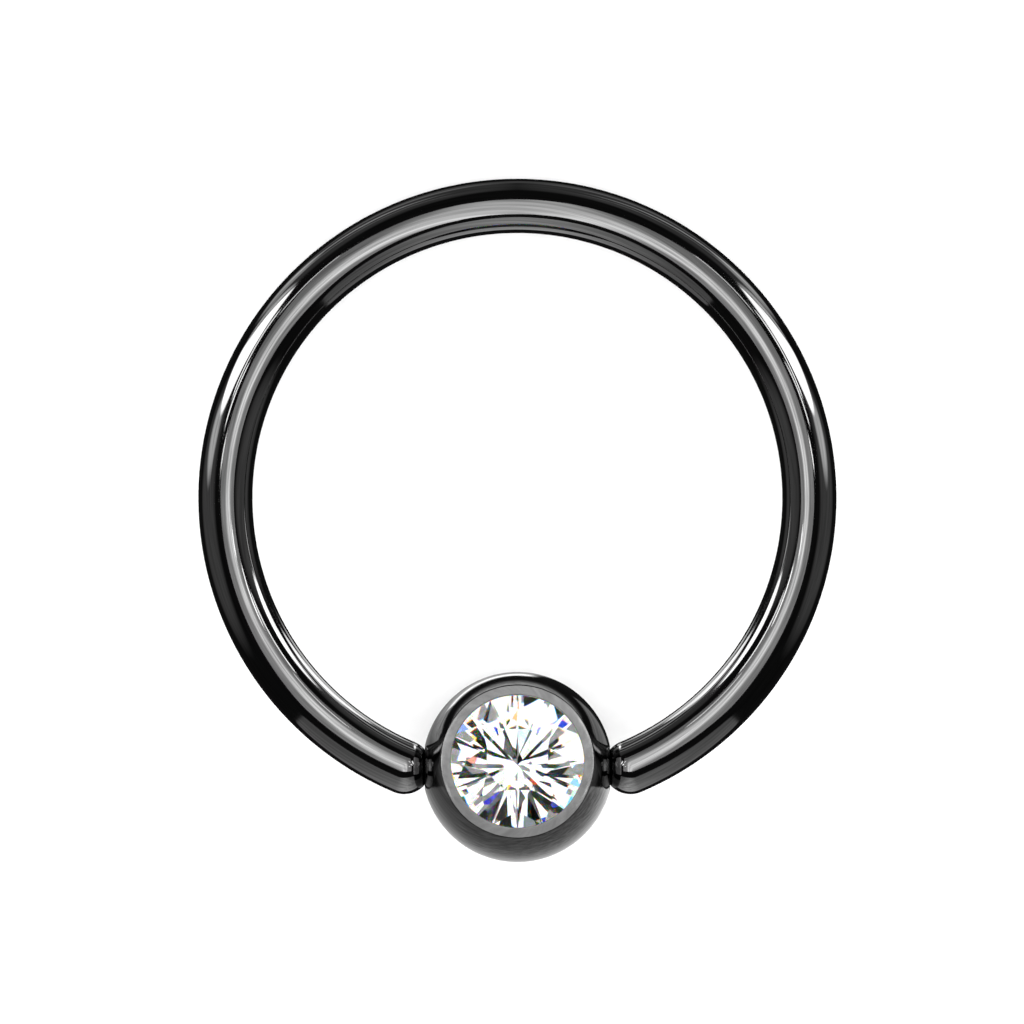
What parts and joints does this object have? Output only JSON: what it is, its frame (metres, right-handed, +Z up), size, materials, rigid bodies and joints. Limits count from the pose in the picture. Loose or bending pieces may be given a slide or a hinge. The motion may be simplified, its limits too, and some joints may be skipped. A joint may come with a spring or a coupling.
{
  "type": "captive bead ring",
  "caption": "Round open wire hoop closed by a ball that sits on its two rounded ends and carries a faceted clear crystal in a turned-in rim, lying on its side.",
  "frame": {"origin": "on the surface that the ring lies on, below the middle of its bounding box", "axes": "+Z up from that surface, -Y towards the ball, +Y towards the far side of the hoop, X along the axis through the ball's two dimples"},
  "size_m": [0.014, 0.015, 0.0039],
  "materials": {
    "black_steel": "polished surgical steel with a black vapour-deposited coating",
    "crystal": "clear cut crystal with polished facets and a foiled back"
  },
  "bodies": {
    "hoop": {"hoop": "black_steel"},
    "bead": {"bead": "black_steel", "stone": "crystal"}
  },
  "joints": [
    {"name": "bead_turn", "type": "hinge", "parent": "hoop", "child": "bead", "pos_m": [0, -0.0054, 0.0021], "axis": [1, 0, 0], "continuous": true}
  ]
}
